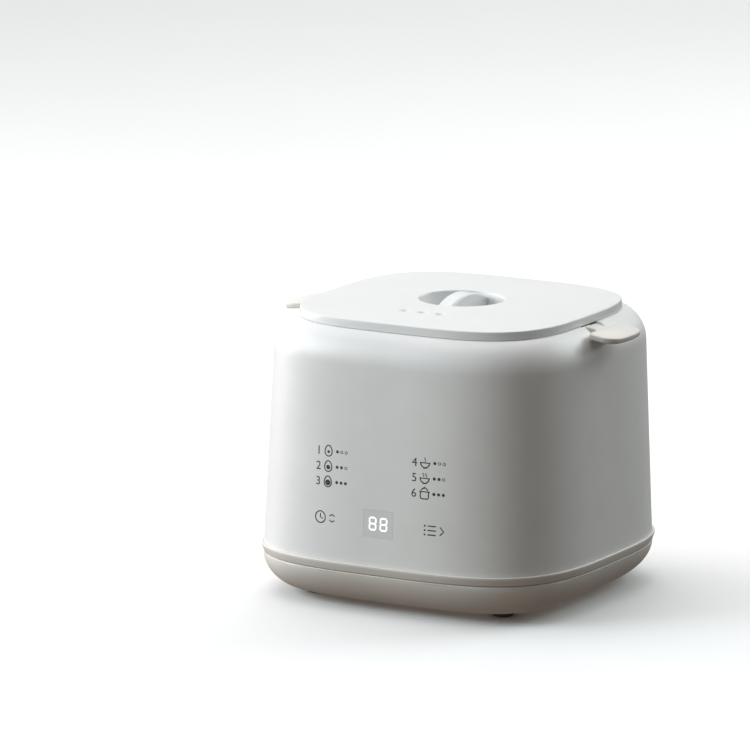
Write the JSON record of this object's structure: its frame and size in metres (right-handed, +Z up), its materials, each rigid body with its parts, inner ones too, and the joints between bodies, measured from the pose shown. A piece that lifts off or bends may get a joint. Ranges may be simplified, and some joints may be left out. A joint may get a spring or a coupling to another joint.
{
  "type": "egg cooker",
  "caption": "Countertop egg cooker: rounded-square heated body, lift-out steel pot with side handles, egg rack and a lift-off lid with a recessed grip bar.",
  "frame": {"origin": "on the surface the cooker stands on, under the middle of the body", "axes": "+Z up, -Y towards the control face, X through the pot's two handles"},
  "size_m": [0.1902, 0.176, 0.1487],
  "materials": {
    "white_shell": "fine satin",
    "cream_shell": "satin",
    "frosted_lid": "frosted, slightly translucent",
    "window_lens": "satin, light shows through it",
    "rubber_foot": "matt",
    "steel": "brushed",
    "cast_aluminium": "cast and machined",
    "dark_plastic": "moulded",
    "board_green": "solder mask",
    "component_blue": "moulded",
    "brass": "plain",
    "red_lead": "insulation",
    "blue_lead": "insulation",
    "green_lead": "insulation"
  },
  "bodies": {
    "body": {"housing": "white_shell", "display_window": "window_lens", "trim_ring": "cream_shell", "base_cover": "cream_shell", "foot_front_left": "rubber_foot", "foot_front_right": "rubber_foot", "foot_rear_left": "rubber_foot", "foot_rear_right": "rubber_foot", "base_screw_front_left": "steel", "base_screw_front_right": "steel", "base_screw_rear_left": "steel", "base_screw_rear_right": "steel", "inner_liner": "steel", "heating_plate": "cast_aluminium", "plate_screw_1": "steel", "plate_screw_2": "steel", "plate_screw_3": "steel", "heating_element": "steel", "sensor_bracket": "steel", "thermal_fuse": "cast_aluminium", "fuse_clip": "steel", "power_board": "board_green", "board_screw_1": "steel", "board_screw_2": "steel", "transformer": "component_blue", "relay": "component_blue", "film_capacitor": "brass", "smoothing_capacitor": "dark_plastic", "terminal_block": "white_shell", "control_board": "board_green", "display_module": "dark_plastic", "control_chip": "dark_plastic", "board_holder": "dark_plastic", "holder_screw_left": "steel", "holder_screw_right": "steel", "touch_spring_left": "brass", "touch_spring_right": "brass", "ribbon_cable": "dark_plastic", "power_inlet": "dark_plastic", "inlet_pin_live": "brass", "inlet_pin_neutral": "brass", "inlet_pin_earth": "brass", "live_lead": "red_lead", "neutral_lead": "blue_lead", "earth_lead": "green_lead", "heater_lead_a": "red_lead", "heater_lead_b": "blue_lead", "sensor_lead": "dark_plastic"},
    "sensor": {"sensor_cap": "cast_aluminium", "sensor_stem": "dark_plastic", "sensor_spring": "steel"},
    "pot": {"inner_pot": "steel", "pot_handle_left": "cream_shell", "pot_handle_right": "cream_shell", "handle_rivet_left": "steel", "handle_rivet_right": "steel"},
    "rack": {"egg_rack": "white_shell", "rack_handle": "cream_shell"},
    "lid": {"lid": "frosted_lid"}
  },
  "joints": [
    {"name": "pot_lift", "type": "slide", "parent": "body", "child": "pot", "axis": [0, 0, 1], "range_m": [0, 0.14]},
    {"name": "lid_lift", "type": "slide", "parent": "pot", "child": "lid", "axis": [0, 0, 1], "range_m": [0, 0.2]},
    {"name": "rack_lift", "type": "slide", "parent": "pot", "child": "rack", "axis": [0, 0, 1], "range_m": [0, 0.1]},
    {"name": "sensor_press", "type": "slide", "parent": "body", "child": "sensor", "axis": [0, 0, 1], "range_m": [-0.002, 0], "stiffness_N_per_m": 500, "springref_m": 0.002, "deforming": ["sensor_spring"]}
  ],
  "couplings": [
    {"joint": "rack_lift", "follows": "lid_lift", "ratio": 0.5}
  ]
}
